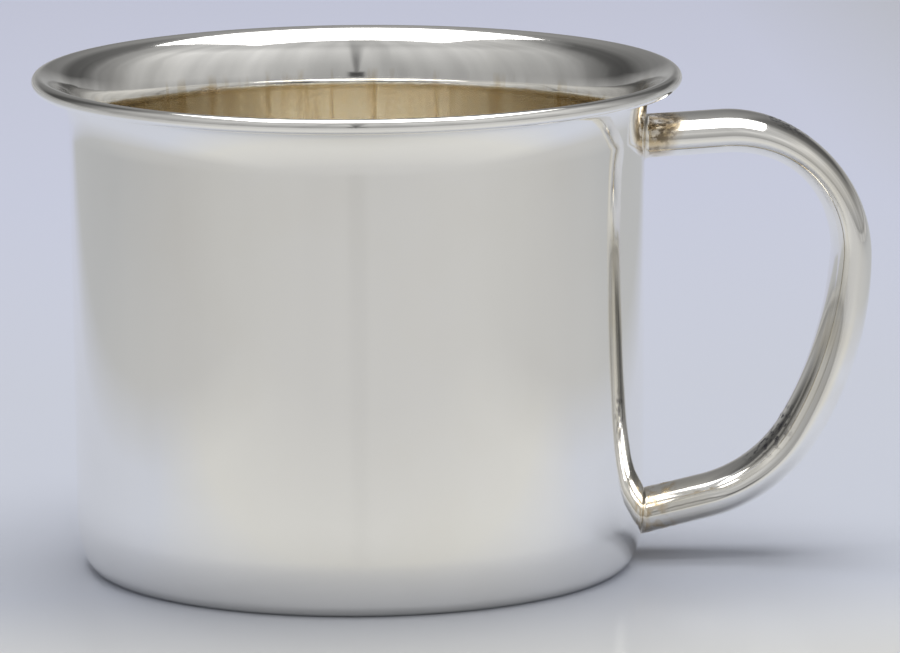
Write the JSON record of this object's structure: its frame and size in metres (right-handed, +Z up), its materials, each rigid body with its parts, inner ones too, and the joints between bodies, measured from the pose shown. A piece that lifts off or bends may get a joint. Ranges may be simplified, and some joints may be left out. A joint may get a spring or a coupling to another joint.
{
  "type": "juice cup",
  "caption": "Small cylindrical silver cup with a flared mouth, a wire round its edge, a rounded base corner and a D-shaped handle bent from oval bar.",
  "frame": {"origin": "on the cup's axis, at its flat base", "axes": "+Z up along the cup's axis, +X towards the handle"},
  "size_m": [0.0908, 0.07, 0.0538],
  "materials": {
    "cup_silver": "polished silver with fine use scratches",
    "handle_silver": "polished silver with light tarnish by the joints",
    "solder_silver": "silver solder, a little duller and warmer"
  },
  "bodies": {
    "root": {"cup_body": "cup_silver", "rim_wire": "cup_silver", "handle": "handle_silver", "upper_solder_ring": "solder_silver", "lower_solder_ring": "solder_silver"}
  },
  "joints": []
}
